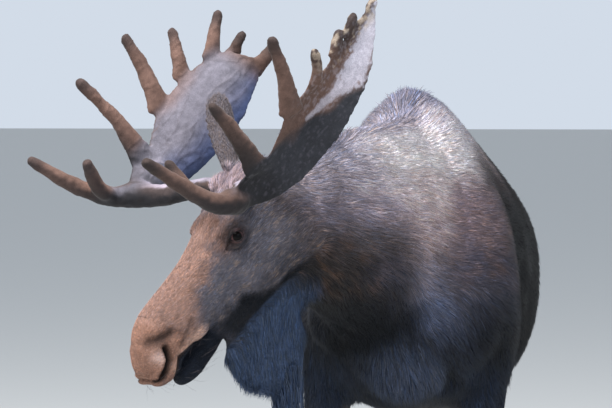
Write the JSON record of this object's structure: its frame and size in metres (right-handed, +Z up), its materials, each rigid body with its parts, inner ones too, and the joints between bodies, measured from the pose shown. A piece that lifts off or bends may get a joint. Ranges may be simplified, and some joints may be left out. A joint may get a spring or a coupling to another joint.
{
  "type": "moose",
  "caption": "Life-size standing bull moose with its head lowered and turned to its right, and broad palmed antlers in velvet.",
  "frame": {"origin": "on the floor, under the middle of the whole animal's box", "axes": "+Z up, the trunk lies along Y and faces -Y, the animal's left side is +X"},
  "size_m": [1.4004, 2.7152, 2.1164],
  "materials": {
    "coat": "dense short hair lying flat over hide, blue-black below, rusty brown on the neck, grey-tan on the hump and warm tan on the muzzle",
    "long_hair": "long coarse blue-black hair of the bell and the crest",
    "velvet": "short felt-like velvet, brown on the tines, grey-lavender on the palms, with a worn cream edge",
    "hoof": "dark keratin with faint growth rings, worn paler at the toe",
    "eye": "wet, glossy, near-black eye"
  },
  "bodies": {
    "root": {"eye_left": "eye", "antler_left_beam": "velvet", "antler_left_brow": "velvet", "antler_left_palm": "velvet", "eye_right": "eye", "antler_right_beam": "velvet", "antler_right_brow": "velvet", "antler_right_palm": "velvet", "neck": "coat", "foreleg_left_upper": "coat", "foreleg_left_lower": "coat", "hoof_fore_left_inner": "hoof", "dewclaw_fore_left_inner": "hoof", "hoof_fore_left_outer": "hoof", "dewclaw_fore_left_outer": "hoof", "foreleg_right_upper": "coat", "foreleg_right_lower": "coat", "hoof_fore_right_inner": "hoof", "dewclaw_fore_right_inner": "hoof", "hoof_fore_right_outer": "hoof", "dewclaw_fore_right_outer": "hoof", "hindleg_left_upper": "coat", "hindleg_left_lower": "coat", "hoof_hind_left_inner": "hoof", "dewclaw_hind_left_inner": "hoof", "hoof_hind_left_outer": "hoof", "dewclaw_hind_left_outer": "hoof", "hindleg_right_upper": "coat", "hindleg_right_lower": "coat", "hoof_hind_right_inner": "hoof", "dewclaw_hind_right_inner": "hoof", "hoof_hind_right_outer": "hoof", "dewclaw_hind_right_outer": "hoof", "trunk": "coat", "bell": "long_hair", "tail": "coat", "ear_left": "coat", "ear_right": "coat", "head": "coat"}
  },
  "joints": []
}
